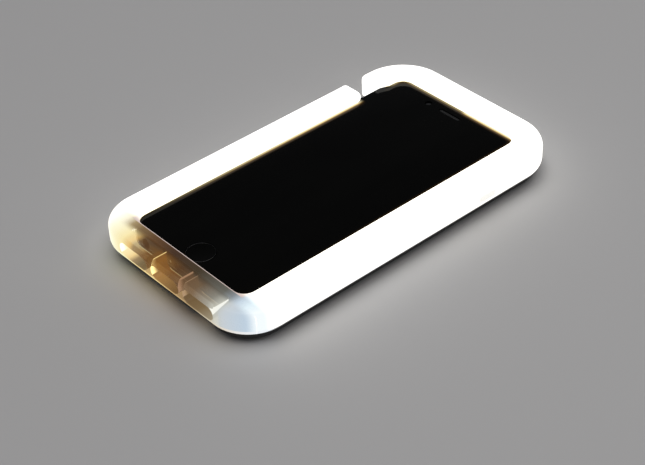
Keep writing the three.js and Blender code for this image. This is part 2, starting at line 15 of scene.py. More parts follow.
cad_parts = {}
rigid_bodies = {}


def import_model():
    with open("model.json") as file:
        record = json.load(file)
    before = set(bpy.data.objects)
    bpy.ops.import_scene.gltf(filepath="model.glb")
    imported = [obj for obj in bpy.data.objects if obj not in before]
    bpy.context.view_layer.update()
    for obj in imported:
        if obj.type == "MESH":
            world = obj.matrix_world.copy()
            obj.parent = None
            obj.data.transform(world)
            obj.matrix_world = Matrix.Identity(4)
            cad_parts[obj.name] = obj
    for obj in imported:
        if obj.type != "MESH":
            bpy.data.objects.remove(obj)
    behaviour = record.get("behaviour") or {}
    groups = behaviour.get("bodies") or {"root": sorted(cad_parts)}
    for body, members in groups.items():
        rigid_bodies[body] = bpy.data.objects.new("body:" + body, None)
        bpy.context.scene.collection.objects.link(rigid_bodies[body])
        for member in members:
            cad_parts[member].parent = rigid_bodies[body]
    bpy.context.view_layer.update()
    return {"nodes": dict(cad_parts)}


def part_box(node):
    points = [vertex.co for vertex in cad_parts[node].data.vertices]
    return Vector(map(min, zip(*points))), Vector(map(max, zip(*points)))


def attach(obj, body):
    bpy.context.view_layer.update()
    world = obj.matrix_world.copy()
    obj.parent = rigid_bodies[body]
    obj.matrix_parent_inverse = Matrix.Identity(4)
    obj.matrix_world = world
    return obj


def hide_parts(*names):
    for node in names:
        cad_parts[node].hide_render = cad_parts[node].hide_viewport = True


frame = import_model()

MM = 0.001
ROOT = "case_and_phone"
scene = bpy.context.scene

# ---------------------------------------------------------------- camera

# Fitted to the photograph, with the phone as the cue for scale.
AZIMUTH, ELEVATION, ROLL = 50.2, 37.7, -2.79
AIM = Vector((23.0, -24.1, 13.8)) * MM
DISTANCE = 579 * MM
SENSOR_WIDTH, FOCAL_LENGTH = 36, 92.26


def make_camera():
    """A long lens, high over the near right-hand corner, turned a little about its own axis."""
    azimuth, elevation, roll = (math.radians(angle) for angle in (AZIMUTH, ELEVATION, ROLL))
    back = Vector((
        math.sin(azimuth) * math.cos(elevation),
        -math.cos(azimuth) * math.cos(elevation),
        math.sin(elevation),
    ))
    level = Vector((math.cos(azimuth), math.sin(azimuth), 0))
    upright = back.cross(level)
    right = level * math.cos(roll) + upright * math.sin(roll)
    up = upright * math.cos(roll) - level * math.sin(roll)
    data = bpy.data.cameras.new("camera")
    data.sensor_width = SENSOR_WIDTH
    data.lens = FOCAL_LENGTH
    data.clip_start = 0.01
    camera = bpy.data.objects.new("camera", data)
    scene.collection.objects.link(camera)
    camera.matrix_world = Matrix.Translation(AIM + back * DISTANCE) @ Matrix((
        (right.x, up.x, back.x, 0),
        (right.y, up.y, back.y, 0),
        (right.z, up.z, back.z, 0),
        (0, 0, 0, 1),
    ))
    scene.camera = camera


make_camera()

# ---------------------------------------------------------------- sizes, in millimetres


def box_mm(node):
    low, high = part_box(node)
    return low / MM, high / MM


def middle_of(node):
    low, high = box_mm(node)
    return (low + high) / 2


FRAME_LOW, FRAME_HIGH = box_mm("diffuser_frame")
COVER_LOW, COVER_HIGH = box_mm("back_cover")
GLASS_LOW, GLASS_HIGH = box_mm("front_glass")
HOUSING_LOW, HOUSING_HIGH = box_mm("phone_housing")

CASE_SIDE = FRAME_HIGH.x
CASE_TOP = FRAME_HIGH.y
CASE_BOTTOM = FRAME_LOW.y
TOP_CORNER, BOTTOM_CORNER = 19, 16.5
EDGE_INSET, EDGE_HEIGHT = 2.0, 2.6  # rounding of the lit frame's outer edges
WINDOW_X, WINDOW_Y, WINDOW_CORNER = 30.9, 66.5, 5  # half the front opening, and its corners' radius
LIP_UNDER = FRAME_HIGH.z - 1.4  # the lip over the phone's border is 1.4 thick
POCKET_WIDTH, POCKET_LENGTH, POCKET_CORNER = 67.6, 138.7, 9.9  # the hollow for the phone
BAY_WIDTH, BAY_LENGTH, BAY_CORNER = 75, 144, 13  # the hollow under the phone's tray

# The gap in the left wall over the phone's ring switch. The lip tapers off beyond it: it has its full
# width from LIP_END on, and its tip is half-way between the pocket and the window.
GAP_LOW, GAP_HIGH = 46.2, 53.6
LIP_END = 59
LIP_MIDDLE = -(POCKET_WIDTH / 2 + WINDOW_X) / 2

# The openings in the bottom end, as places along X and widths. Their roofs leave a skin of the frame.
PORTS = [(-18, 15.6), (0, 15.6), (18.5, 16.6)]
PORT_Z, PORT_HEIGHT = 8.9, 5.4
PORT_ROOF_CORNER = 0.5
PORT_REACH = 8.6  # from the frame's bottom face into the pocket
SKIN = 0.6

HOME = middle_of("home_button_cap")
HOME_RADIUS = (box_mm("home_button_cap")[1].x - box_mm("home_button_cap")[0].x) / 2
KEY_NAMES = ["volume_up", "volume_down", "power"]

# ---------------------------------------------------------------- drawing

APART = 0.01  # left between the two arcs of a round end
MERGE = 1e-4  # points of a loft that are closer than this become one


def quarter(steps):
    """Angles from nothing to a quarter turn, both ends included."""
    return [math.pi / 2 * i / steps for i in range(steps + 1)]


def arc(x, y, radius, start, stop, steps):
    """Points on an arc from one angle to another, in degrees, both ends included."""
    angles = [math.radians(start + (stop - start) * i / steps) for i in range(steps + 1)]
    return [(x + radius * math.cos(a), y + radius * math.sin(a)) for a in angles]


def rounded(width, length, radius, x=0, y=0, *, steps):
    """A rounded rectangle's outline."""
    w, l = width / 2 - radius, length / 2 - radius
    points = []
    for turn, (sx, sy) in enumerate([(1, 1), (-1, 1), (-1, -1), (1, -1)]):
        points += arc(x + sx * w, y + sy * l, radius, 90 * turn, 90 * turn + 90, steps)
    return points


def case_outline(by):
    """The case's outline, inset by a distance."""
    points = []
    for turn, (sx, y, radius) in enumerate([
        (1, CASE_TOP - TOP_CORNER, TOP_CORNER),
        (-1, CASE_TOP - TOP_CORNER, TOP_CORNER),
        (-1, CASE_BOTTOM + BOTTOM_CORNER, BOTTOM_CORNER),
        (1, CASE_BOTTOM + BOTTOM_CORNER, BOTTOM_CORNER),
    ]):
        points += arc(sx * (CASE_SIDE - radius), y, radius - by, 90 * turn, 90 * turn + 90, 14)
    return points


def at(outline, z):
    return [(x, y, z) for x, y in outline]


def bend_in(inset, height, low, steps):
    """Insets and heights of an edge that rises from a flat underside into a wall."""
    return [(inset * (1 - math.sin(t)), low + height * (1 - math.cos(t))) for t in quarter(steps)]


def bend_over(inset, height, high, steps):
    """The same from a wall onto a flat top."""
    return [(inset * (1 - math.cos(t)), high - height * (1 - math.sin(t))) for t in quarter(steps)]


def crowned(side, face, depth, steps):
    """Stations along X for a key's rounded face: how far out each is, and how much the outline shrinks."""
    return [(side * (face - depth * (1 - math.sin(t))), -depth * (1 - math.cos(t))) for t in quarter(steps)]


def loft(levels, closed=False):
    """A solid through rings of points, capped at its ends, or joined round into a tube."""
    bm = bmesh.new()
    rings = [[bm.verts.new(p) for p in level] for level in levels]
    pairs = list(zip(rings, rings[1:]))
    if closed:
        pairs.append((rings[-1], rings[0]))
    else:
        bm.faces.new(list(reversed(rings[0])))
        bm.faces.new(rings[-1])
    for low, high in pairs:
        for i in range(len(low)):
            j = (i + 1) % len(low)
            bm.faces.new((low[i], low[j], high[j], high[i]))
    bmesh.ops.remove_doubles(bm, verts=bm.verts, dist=MERGE)
    bmesh.ops.dissolve_degenerate(bm, edges=bm.edges, dist=MERGE / 10)
    bmesh.ops.recalc_face_normals(bm, faces=bm.faces)
    return shape(bm)


def shape(bm):
    mesh = bpy.data.meshes.new("shape")
    bm.to_mesh(mesh)
    bm.free()
    made = bpy.data.objects.new("shape", mesh)
    scene.collection.objects.link(made)
    return made


def prism(outline, low, high):
    return loft([at(outline, low), at(outline, high)])


def lathe(profile, x, y, sides=64, closed=False):
    """A turned solid about an upright axis.

    The profile is radii and heights, from axis to axis, or closed on itself for a ring.
    """
    turns = [2 * math.pi * i / sides for i in range(sides)]
    levels = [[(x + r * math.cos(t), y + r * math.sin(t), z) for t in turns] for r, z in profile]
    return loft(levels, closed)


def along_y(outline, stations, x, z):
    """A loft along Y: at each station a Y and how much the outline grows."""
    return loft([
        [(x + px, y, z + pz) for px, pz in outline(grow)] for y, grow in stations
    ])


def along_x(outline, stations, y, z):
    """A loft along X of an outline in Y and Z."""
    return loft([
        [(x, y + py, z + pz) for py, pz in outline(grow)] for x, grow in stations
    ])


def stadium(width, height, steps=8):
    """A function that gives a slot's outline with round ends, grown by a distance."""
    def outline(grow):
        radius = height / 2 + grow - APART
        return rounded(width + 2 * grow, height + 2 * grow, radius, steps=steps)
    return outline


def combine(target, others, operation="DIFFERENCE"):
    """Cuts other solids from a solid, or joins them to it, and uses them up."""
    for other in others:
        modifier = target.modifiers.new("combine", "BOOLEAN")
        modifier.object = other
        modifier.operation = operation
        modifier.solver = "EXACT"
        bpy.context.view_layer.objects.active = target
        bpy.ops.object.modifier_apply(modifier=modifier.name)
        bpy.data.objects.remove(other)


SMOOTH_UP_TO = math.radians(34)  # edges that turn more than this stay sharp


def piece(name, made, body, material, replaces):
    """Turns a drawn shape into a piece: to metres, named, shaded and riding, and hides the parts it
    replaces.
    """
    made.data.transform(Matrix.Scale(MM, 4))
    made.name = name
    made.data.name = name
    made.data.materials.clear()
    made.data.materials.append(material)
    bpy.context.view_layer.objects.active = made
    for other in scene.objects:
        other.select_set(other is made)
    bpy.ops.object.shade_smooth_by_angle(angle=SMOOTH_UP_TO)
    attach(made, body)
    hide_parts(*replaces)


# ---------------------------------------------------------------- materials


class Nodes:
    """A material under construction: its node tree, with short ways to add to it."""

    def __init__(self, name):
        self.material = bpy.data.materials.new(name)
        self.material.use_nodes = True
        self.tree = self.material.node_tree
        self.shader = self.tree.nodes["Principled BSDF"]

    def add(self, kind, inputs=None, **settings):
        node = self.tree.nodes.new("ShaderNode" + kind)
        for key, value in settings.items():
            setattr(node, key, value)
        for key, value in (inputs or {}).items():
            self.put(node.inputs[key], value)
        return node

    def put(self, socket, value):
        if isinstance(value, bpy.types.NodeSocket):
            self.tree.links.new(value, socket)
        else:
            socket.default_value = value

    def set(self, **values):
        """Sets or links the shader's inputs, named with underscores for spaces."""
        for key, value in values.items():
            self.put(self.shader.inputs[key.replace("_", " ")], value)

    def position(self):
        """Place on the piece in millimetres, whole and split into x, y and z."""
        place = self.add("TexCoord").outputs["Object"]
        scaled = self.add("VectorMath", {0: place, "Scale": 1 / MM}, operation="SCALE")
        split = self.add("SeparateXYZ", {0: scaled.outputs[0]})
        return scaled.outputs[0], split.outputs

    def math(self, operation, a, b=0.0, clamp=False):
        return self.add("Math", {0: a, 1: b}, operation=operation, use_clamp=clamp).outputs[0]

    def span(self, value, low, high, start=0.0, stop=1.0, kind="SMOOTHSTEP"):
        """Goes from start to stop as the value goes from low to high, and stays there beyond."""
        inputs = {"Value": value, "From Min": low, "From Max": high, "To Min": start, "To Max": stop}
        return self.add("MapRange", inputs, interpolation_type=kind).outputs[0]

    def ramp(self, value, stops):
        node = self.add("ValToRGB", {"Fac": value})
        elements = node.color_ramp.elements
        while len(elements) < len(stops):
            elements.new(0.5)
        for element, (where, colour) in zip(elements, stops):
            element.position = where
            element.color = (*colour, 1)
        return node.outputs["Color"]

    def mix(self, factor, a, b, blend="MIX"):
        node = self.add("Mix", data_type="RGBA", blend_type=blend)
        for index, value in [(0, factor), (6, a), (7, b)]:
            self.put(node.inputs[index], value)
        return node.outputs[2]

    def mix_value(self, factor, a, b):
        node = self.add("Mix", data_type="FLOAT")
        for index, value in [(0, factor), (2, a), (3, b)]:
            self.put(node.inputs[index], value)
        return node.outputs[0]

    def product(self, a, b):
        return self.math("MULTIPLY", a, b)

    def larger(self, a, b):
        return self.math("MAXIMUM", a, b)

    def noise(self, scale, detail, stretch=(1, 1, 1)):
        place, _ = self.position()
        moved = self.add("VectorMath", {0: place, 1: stretch}, operation="MULTIPLY")
        inputs = {"Vector": moved.outputs[0], "Scale": scale, "Detail": detail}
        return self.add("TexNoise", inputs).outputs["Fac"]

    def bump(self, height, strength, distance):
        inputs = {"Height": height, "Strength": strength, "Distance": distance * MM}
        return self.add("Bump", inputs).outputs["Normal"]


def rgba(r, g, b):
    return (r, g, b, 1)


def plain_grain(name, dark, light, rough, grain, relief, metallic=0.0, sheen=0.0):
    """A surface whose colour and roughness wander a little, with a fine relief."""
    n = Nodes(name)
    cloud = n.noise(grain, 4)
    fine = n.noise(grain * 6, 2)
    n.set(
        Base_Color=n.ramp(cloud, [(0.3, dark), (0.7, light)]),
        Roughness=n.span(cloud, 0.3, 0.7, *rough),
        Metallic=metallic,
        Sheen_Weight=sheen,
        Normal=n.bump(fine, 0.35, relief),
    )
    return n.material


def seen(red, green, blue):
    """A colour as it looks on a screen, from 0 to 255, turned into amounts of light."""
    return tuple((c / 255) ** 2.2 for c in (red, green, blue))


# The dim bottom end's colours, as they change across X. GLOW is brighter than the screen's white.
TONES_REACH = 40
GLOW = [(0.00, (1.3, 1.25, 1.15)), (0.05, (1.15, 1.12, 1.0))]
LIP_TONES = GLOW + [
    (0.10, seen(250, 243, 216)),
    (0.15, seen(160, 140, 102)),
    (0.20, seen(116, 95, 64)),
    (0.30, seen(88, 61, 35)),
    (0.45, seen(58, 38, 23)),
    (0.62, seen(56, 47, 32)),
    (0.80, seen(92, 93, 87)),
    (0.85, seen(126, 134, 140)),
    (0.90, seen(194, 210, 224)),
    (0.95, seen(225, 242, 250)),
    (1.00, seen(243, 251, 254)),
]
WALL_TONES = GLOW + [
    (0.10, seen(254, 251, 220)),
    (0.20, seen(245, 228, 168)),
    (0.25, seen(205, 165, 96)),
    (0.275, seen(110, 78, 44)),
    (0.32, seen(96, 66, 38)),
    (0.40, seen(122, 84, 38)),
    (0.45, seen(134, 92, 40)),
    (0.55, seen(96, 66, 38)),
    (0.70, seen(114, 94, 73)),
    (0.80, seen(150, 148, 138)),
    (0.85, seen(192, 194, 184)),
    (0.90, seen(194, 202, 208)),
    (1.00, seen(184, 204, 222)),
]
# Painted light along the rim at the foot of the bottom end's wall, as it changes across X.
RIM_LIGHT_TONES = [
    (0.00, seen(255, 254, 240)),
    (0.20, seen(250, 248, 200)),
    (0.30, seen(236, 208, 146)),
    (0.42, seen(242, 216, 150)),
    (0.55, seen(198, 164, 112)),
    (0.70, seen(164, 142, 106)),
    (0.80, seen(206, 196, 172)),
    (0.90, seen(222, 214, 200)),
    (1.00, seen(235, 240, 246)),
]
PORT_TONES = [
    (0.17, seen(250, 236, 180)),
    (0.23, seen(226, 190, 124)),
    (0.26, seen(110, 76, 44)),
    (0.30, seen(62, 40, 26)),
    (0.39, seen(72, 48, 28)),
    (0.42, seen(136, 84, 30)),
    (0.50, seen(104, 66, 28)),
    (0.60, seen(68, 46, 26)),
    (0.72, seen(106, 88, 62)),
    (0.82, seen(136, 126, 104)),
]
PORT_EDGE_TONES = [
    (0.17, seen(255, 250, 214)),
    (0.30, seen(96, 66, 40)),
    (0.41, seen(252, 222, 146)),
    (0.60, seen(146, 112, 88)),
    (0.63, seen(128, 106, 82)),
    (0.84, seen(255, 253, 244)),
]
# The colour of the painted highlight along the window's edge at the bottom end.
WINDOW_EDGE_HIGHLIGHT = seen(208, 190, 184)

# The ends of ports that catch the light, as places along X and how far the light reaches.
LIT_PORT_ENDS = [(-25.8, 0.8), (-7.8, 0.8), (7.8, 0.35), (10.2, 0.35)]
EDGE_GAIN = 1.9
PORTS_SIDE = 27.3  # no port is farther out than this
ROOF_RISE = 1.9  # how far the ports' roofs rise behind their mouths


def milky_material(name, brightness):
    """Translucent white plastic, lit from inside along both long walls and the top end.

    The strips stop short of the bottom end. There the light dies away from the strips' ends, warm on the
    left and cool on the right, and the plastic can be seen through. Masks are 1 where they hold.
    """
    n = Nodes(name)
    _, (x, y, z) = n.position()
    times, more = n.product, n.larger
    off_middle = n.math("ABSOLUTE", x)
    across = n.span(x, -TONES_REACH, TONES_REACH, kind="LINEAR")

    # The bottom end: its lip and wall, and a bright rim of painted light at the foot of the wall.
    outside = n.span(y, -68.9, -72.6)
    painted_rim_light = n.span(z, 6.8, 6.4)
    haze = n.mix(outside, n.ramp(across, LIP_TONES), n.ramp(across, WALL_TONES))
    haze = n.mix(painted_rim_light, haze, n.ramp(across, RIM_LIGHT_TONES))

    # The walls of the ports, between the frame's outer face and the pocket, under the sloping skin.
    deep = times(n.span(y, -76.95, -76.6), n.span(y, -69.5, -69.9))
    deep = times(deep, n.span(off_middle, PORTS_SIDE + 0.1, PORTS_SIDE - 0.1))
    drop = times(n.span(y, -76.6, -75.2), -ROOF_RISE)
    under_skin = n.span(n.math("ADD", z, drop), 11.55, 11.4)
    in_port = times(deep, times(under_skin, n.span(z, 5.9, 6.1)))
    # Painted light and shade on the ports' walls: pale where the strips' light reaches them, dark brown
    # where it doesn't.
    haze = n.mix(in_port, haze, n.ramp(across, PORT_TONES))

    def near(place, reach):
        return n.span(n.math("ABSOLUTE", n.math("SUBTRACT", x, place)), reach, 0.6 * reach)

    # Painted light: bright lines along the upper edges of some ports' ends, and a wedge at the last port's
    # far end.
    port_ends = 0.0
    for end, reach in LIT_PORT_ENDS:
        port_ends = n.math("ADD", near(end, reach), port_ends, clamp=True)
    port_top = more(n.span(z, 12.3, 12.8), n.span(y, -73.8, -76.4))
    port_line = times(times(in_port, port_ends), port_top)
    last_x, last_width = PORTS[-1]
    rise = n.math("SUBTRACT", z, times(n.math("ADD", y, 77.0), 0.32))
    wedge = times(n.span(rise, 9.3, 9.6), n.span(z, 12.5, 12.2))
    wedge = times(times(in_port, near(last_x + last_width / 2, 2.2)), wedge)
    port_line = more(port_line, wedge)
    edges = n.mix(1.0, n.ramp(across, PORT_EDGE_TONES), rgba(EDGE_GAIN, EDGE_GAIN, EDGE_GAIN), "MULTIPLY")
    haze = n.mix(port_line, haze, edges)

    # A painted highlight: a thin pale line along the window's edge.
    edge_highlight = times(n.span(y, -67.1, -66.9), n.span(z, 13.0, 13.4))
    edge_highlight = times(n.span(off_middle, 31.5, 30.0), edge_highlight)
    haze = n.mix(edge_highlight, haze, rgba(*WINDOW_EDGE_HIGHLIGHT))

    # The lit walls: white, with painted shade at the foot, and painted warm shade low on the window's inner
    # wall.
    white = n.ramp(n.noise(0.06, 2), [(0.35, (1.0, 0.975, 0.90)), (0.65, (0.98, 0.985, 0.97))])
    # Painted shade: the walls' glow darkens to nearly black towards the foot, below 6.2 mm.
    white = n.mix(n.span(z, 5.5, 6.2), rgba(0.05, 0.045, 0.04), white)
    # Painted shade on the window's inner wall: warm and darker towards the glass.
    by_window = times(n.span(off_middle, 31.9, 31.4), n.span(n.math("ABSOLUTE", y), 67.4, 67.0))
    window_wall_shade = n.ramp(n.span(z, 12.4, 13.8, kind="LINEAR"), [
        (0.0, (0.9, 0.7, 0.32)),
        (0.2, (1.3, 1.2, 1.0)),
    ])
    white = n.mix(by_window, white, window_wall_shade)
    dim = n.span(y, -62.0, -67.0)  # from the lit walls to the dim end

    # How much there is to see: the darker, the clearer, apart from the places where it is lit or thick.
    level = n.add("RGBToBW", {0: haze}).outputs[0]
    body = n.span(level, 0.2, 0.9, 0.54, 1.0)
    over_phone = times(n.span(y, -70.4, -69.3), n.span(z, 13.0, 13.4))
    body = more(body, times(over_phone, 0.85))
    body = more(body, more(painted_rim_light, edge_highlight))
    body = more(body, more(n.span(x, -22.8, -26.0), n.span(x, 27.5, 30.5)))
    port_body = more(port_line, n.span(z, 12.9, 12.4, 0.1, 0.85))
    body = n.mix_value(in_port, body, port_body)
    pocket_end = times(n.span(y, -69.55, -69.4), n.span(y, -69.15, -69.3))
    body = n.mix_value(times(pocket_end, n.span(z, 13.0, 12.6)), body, 0.05)

    # Painted shade: the white plastic takes a near-black base colour in the dim end, darker still in the
    # ports, so that the studio lamps don't lighten it there.
    surface = n.mix(in_port, rgba(0.04, 0.03, 0.022), rgba(0.02, 0.015, 0.01))
    n.set(
        Base_Color=n.mix(dim, rgba(0.86, 0.86, 0.84), surface),
        Emission_Color=n.mix(dim, white, haze),
        Emission_Strength=n.mix_value(dim, brightness, n.span(body, 0.54, 1.0, 1.22, 1.0)),
        Alpha=more(body, n.math("SUBTRACT", 1.0, dim)),
        Roughness=n.span(n.noise(0.9, 3), 0.3, 0.7, 0.24, 0.36),
        Specular_IOR_Level=0.3,
        Normal=n.bump(n.noise(0.35, 3), 0.15, 0.03),
    )
    return n.material


def cover_material():
    """Black moulded plastic with a fine spark-eroded grain."""
    n = Nodes("moulded_black")
    grain = n.noise(9.0, 3)
    cloud = n.noise(0.08, 3)
    n.set(
        Base_Color=n.ramp(cloud, [(0.3, (0.0075, 0.0078, 0.0085)), (0.7, (0.0125, 0.0125, 0.0135))]),
        Roughness=n.span(cloud, 0.3, 0.7, 0.38, 0.52),
        Normal=n.bump(grain, 0.5, 0.05),
    )
    return n.material


def glass_material():
    """Black glass. A little of the frame's warm light leaks out from under the lip onto it."""
    n = Nodes("black_glass")
    smear = n.noise(0.05, 4, (1, 0.35, 1))
    _, (x, y, _) = n.position()
    to_side = n.math("SUBTRACT", WINDOW_X, n.math("ABSOLUTE", x))
    to_end = n.math("SUBTRACT", WINDOW_Y, y)
    nearest = {0: to_side, 1: to_end, 2: 3.0}
    to_lip = n.add("Math", nearest, operation="SMOOTH_MIN").outputs[0]
    leak = n.ramp(n.span(to_lip, 0, 2.5, kind="LINEAR"), [
        (0.0, (1.0, 0.9, 0.6)),
        (0.16, (0.8, 0.6, 0.25)),
        (0.34, (0.16, 0.085, 0.02)),
        (0.6, (0.02, 0.010, 0.003)),
        (1.0, (0, 0, 0)),
    ])
    before_gap = n.larger(n.span(y, GAP_LOW - 1, GAP_LOW - 5), n.span(x, 0, 5))
    beside_bar = n.product(n.span(y, -64.0, 30.0), before_gap)
    n.set(
        Base_Color=n.ramp(smear, [(0.3, (0.0014, 0.0014, 0.0012)), (0.7, (0.0024, 0.0024, 0.002))]),
        Emission_Color=leak,
        Emission_Strength=n.larger(beside_bar, n.span(y, LIP_END - 1, LIP_END + 3, 0.0, 0.3)),
        Roughness=n.span(smear, 0.35, 0.75, 0.05, 0.1),
        Specular_IOR_Level=0.05,
    )
    return n.material


def scaled(colour, factor):
    return tuple(factor * c for c in colour)


def anodised(name, colour, rough):
    """Bead-blasted, anodised metal."""
    n = Nodes(name)
    cloud = n.noise(0.3, 3)
    spark = n.noise(14.0, 2)
    n.set(
        Base_Color=n.ramp(cloud, [(0.3, colour), (0.7, scaled(colour, 1.25))]),
        Metallic=0.9,
        Roughness=n.span(spark, 0.3, 0.7, rough, rough + 0.1),
        Normal=n.bump(spark, 0.3, 0.012),
    )
    return n.material


def polished(name, colour, rough):
    """Turned or drawn metal with faint brushing."""
    n = Nodes(name)
    brush = n.noise(2.0, 3, (1, 14, 14))
    n.set(
        Base_Color=n.ramp(brush, [(0.3, scaled(colour, 0.82)), (0.7, colour)]),
        Metallic=1.0,
        Roughness=n.span(brush, 0.3, 0.7, rough, rough + 0.12),
        Normal=n.bump(brush, 0.2, 0.01),
    )
    return n.material


def strip_material():
    """White solder resist on the flex, and light packages that glow where they stand proud of it."""
    n = Nodes("led_strip")
    _, (_, _, z) = n.position()
    proud = n.span(z, 4.82, 4.9)
    mottle = n.noise(1.5, 3)
    flex = n.ramp(mottle, [(0.3, (0.62, 0.60, 0.52)), (0.7, (0.80, 0.78, 0.70))])
    n.set(
        Base_Color=n.mix(proud, flex, rgba(0.95, 0.85, 0.45)),
        Roughness=n.span(mottle, 0.3, 0.7, 0.4, 0.55),
        Emission_Color=n.mix(proud, rgba(0, 0, 0), rgba(1.0, 0.93, 0.75)),
        Emission_Strength=3.0,
    )
    return n.material


def lens_material():
    """Dark glass with a coating that turns violet at its edge."""
    n = Nodes("coated_lens")
    facing = n.add("LayerWeight", {"Blend": 0.4}).outputs["Facing"]
    n.set(
        Base_Color=n.ramp(facing, [(0.1, (0.004, 0.005, 0.012)), (0.6, (0.02, 0.012, 0.05))]),
        Roughness=0.04,
        Coat_Weight=1.0,
        Coat_Roughness=0.02,
    )
    return n.material


MILKY = milky_material("milky_plastic", 1.45)
PAD = milky_material("milky_pads", 0.68)
COVER = cover_material()
GLASS = glass_material()
LENS = lens_material()
STRIP = strip_material()
HOUSING = anodised("space_grey", (0.055, 0.057, 0.062), 0.36)
DARK_RING = polished("dark_ring", (0.03, 0.03, 0.031), 0.3)
STEEL = polished("steel", (0.62, 0.63, 0.65), 0.24)
TRAY = polished("pressed_tray", (0.45, 0.46, 0.47), 0.34)

# Each with its darker and lighter colour, two ends of roughness, grain and relief, and some with metal.
MESH = plain_grain("black_mesh", (0.004, 0.004, 0.004), (0.008, 0.008, 0.008), (0.5, 0.7), 12.0, 0.03)
FELT = plain_grain("felt", (0.018, 0.018, 0.02), (0.035, 0.035, 0.038), (0.9, 1.0), 3.0, 0.15, sheen=0.5)
BOARD = plain_grain("circuit_board", (0.01, 0.075, 0.03), (0.016, 0.12, 0.05), (0.35, 0.5), 0.6, 0.03)
FLEX = plain_grain("amber_flex", (0.40, 0.17, 0.03), (0.52, 0.25, 0.05), (0.35, 0.5), 1.0, 0.02)
POUCH = plain_grain("battery_foil", (0.36, 0.37, 0.38), (0.5, 0.51, 0.52), (0.3, 0.45), 0.4, 0.06, 0.8)
PHONE_POUCH = plain_grain("black_foil", (0.01, 0.01, 0.011), (0.02, 0.02, 0.022), (0.35, 0.5), 0.4, 0.05)
CHIP = plain_grain("black_resin", (0.008, 0.008, 0.009), (0.016, 0.016, 0.018), (0.45, 0.6), 5.0, 0.02)
DISPLAY = plain_grain("display_black", (0.002, 0.002, 0.003), (0.004, 0.004, 0.005), (0.12, 0.2), 0.2, 0.005)
LED_CLEAR = plain_grain("led_white", (0.8, 0.72, 0.5), (0.9, 0.84, 0.66), (0.25, 0.35), 2.0, 0.01)

# ---------------------------------------------------------------- the lit frame

# How far each edge's rounding goes in and down, and how much of it the gap's ends have underneath.
OUTER = (EDGE_INSET, EDGE_HEIGHT)
GAP_EDGE = (0.9, 0.9)
LIP_EDGE = (0.6, 0.5)
GAP_UNDER = 0.3

# Radii at the gap, in plan: the corner piece outside, the long bar outside and inside, the lip's tip.
CORNER_TIP, BAR_TIP, BAR_INNER, LIP_TIP = 3.6, 2.0, 5, 1.2


def frame_path():
    """The plan of the frame, cut open at the gap: points, inward normals, and each one's edge rounding.

    It runs clockwise round the outside from the gap, round the long bar's end, and back anticlockwise
    round the window. The last point before the lip's tip is where the lip starts to taper.
    """
    path = []

    def blend(a, b, share):
        return tuple(p + (q - p) * share for p, q in zip(a, b))

    def corner(x, y, radius, start, stop, edge, next_edge=None, hollow=False, steps=14):
        side = 1 if hollow else -1
        for i in range(steps + 1):
            angle = math.radians(start + (stop - start) * i / steps)
            out = Vector((math.cos(angle), math.sin(angle)))
            rounding = blend(edge, next_edge or edge, i / steps)
            path.append((Vector((x, y)) + out * radius, out * side, rounding))

    side, window = CASE_SIDE, WINDOW_X
    inner = WINDOW_CORNER
    corner(-side + CORNER_TIP, GAP_HIGH + CORNER_TIP, CORNER_TIP, 270, 180, GAP_EDGE, OUTER)
    corner(-side + TOP_CORNER, CASE_TOP - TOP_CORNER, TOP_CORNER, 180, 90, OUTER)
    corner(side - TOP_CORNER, CASE_TOP - TOP_CORNER, TOP_CORNER, 90, 0, OUTER)
    corner(side - BOTTOM_CORNER, CASE_BOTTOM + BOTTOM_CORNER, BOTTOM_CORNER, 0, -90, OUTER)
    corner(-side + BOTTOM_CORNER, CASE_BOTTOM + BOTTOM_CORNER, BOTTOM_CORNER, -90, -180, OUTER)
    corner(-side + BAR_TIP, GAP_LOW - BAR_TIP, BAR_TIP, 180, 90, OUTER, GAP_EDGE)
    corner(-window - BAR_INNER, GAP_LOW - BAR_INNER, BAR_INNER, 90, 0, GAP_EDGE, LIP_EDGE)
    corner(-window + inner, -WINDOW_Y + inner, inner, 180, 270, LIP_EDGE, hollow=True)
    corner(window - inner, -WINDOW_Y + inner, inner, 270, 360, LIP_EDGE, hollow=True)
    corner(window - inner, WINDOW_Y - inner, inner, 0, 90, LIP_EDGE, hollow=True)
    corner(-window + inner, WINDOW_Y - inner, inner, 90, 180, LIP_EDGE, hollow=True)
    taper = math.degrees(math.atan2(-window - LIP_MIDDLE, LIP_END - GAP_HIGH - LIP_TIP))
    path.append((Vector((-window, LIP_END)), Vector((-0.986, 0.165)), LIP_EDGE))
    corner(LIP_MIDDLE - LIP_TIP, GAP_HIGH + LIP_TIP, LIP_TIP, taper, -90, LIP_EDGE, GAP_EDGE, steps=8)
    return path


def frame_body():
    """The frame before anything is cut from below: edges rounded all round, by different amounts."""
    path = frame_path()
    levels = []
    for turn in quarter(6):
        level = []
        for point, inward, (inset, height) in path:
            under = 1.0 if inset == EDGE_INSET else GAP_UNDER * (inset > LIP_EDGE[0])
            moved = point + inward * inset * under * (1 - math.sin(turn))
            level.append((moved.x, moved.y, FRAME_LOW.z + height * under * (1 - math.cos(turn))))
        levels.append(level)
    for turn in quarter(6):
        level = []
        for point, inward, (inset, height) in path:
            moved = point + inward * inset * (1 - math.cos(turn))
            level.append((moved.x, moved.y, FRAME_HIGH.z - height * (1 - math.sin(turn))))
        levels.append(level)
    return loft(levels)


